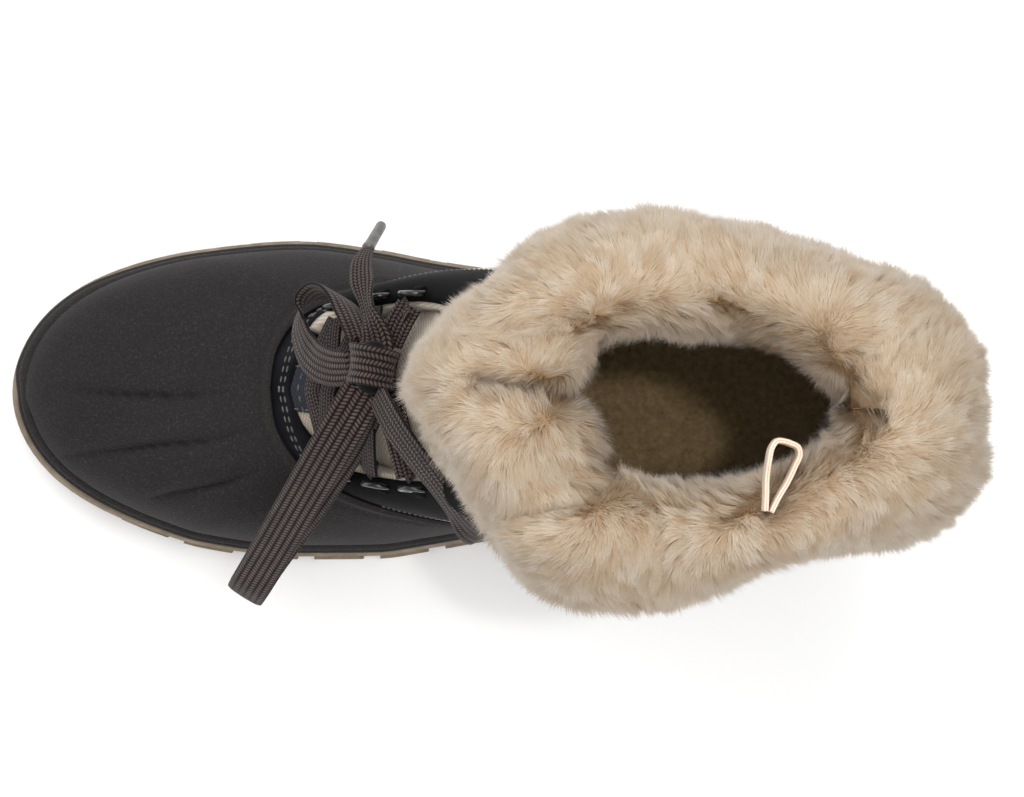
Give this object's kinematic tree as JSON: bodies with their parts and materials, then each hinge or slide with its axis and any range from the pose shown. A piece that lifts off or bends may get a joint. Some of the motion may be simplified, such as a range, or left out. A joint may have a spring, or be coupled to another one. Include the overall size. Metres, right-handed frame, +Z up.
{
  "type": "duck boot",
  "caption": "Left winter duck boot: moulded rubber shell on a lugged sole, hollow laced shaft with a tongue, deep fleece collar and a tied bow.",
  "frame": {"origin": "on the floor, under the middle of the boot's box without its free laces", "axes": "+X from toe to heel, +Y to the medial side (the right of a person wearing it), +Z up"},
  "size_m": [0.313, 0.1248, 0.2482],
  "materials": {
    "outsole": "matt tan moulded rubber",
    "insole": "olive-brown felt",
    "shell": "matt dark moulded rubber",
    "shaft": "dark leather and nylon over lining",
    "tongue": "beige nylon over padding",
    "collar": "cream deep-pile fleece",
    "pull_tab": "woven ribbon",
    "lace": "flat braided polyester",
    "aglet": "moulded tip",
    "lace_loop": "gloss black enamel on steel wire"
  },
  "bodies": {
    "root": {"outsole": "outsole", "insole": "insole", "shell": "shell", "shaft": "shaft", "tongue": "tongue", "collar": "collar", "pull_tab": "pull_tab", "lacing": "lace", "lace_knot": "lace", "bow_loop_side": "lace", "bow_loop_front": "lace", "lace_end_tip": "lace", "lace_end_side": "lace", "aglet_tip": "aglet", "aglet_side": "aglet", "lace_loop_medial_1": "lace_loop", "lace_loop_medial_2": "lace_loop", "lace_loop_medial_3": "lace_loop", "lace_loop_lateral_1": "lace_loop", "lace_loop_lateral_2": "lace_loop", "lace_loop_lateral_3": "lace_loop"}
  },
  "joints": []
}
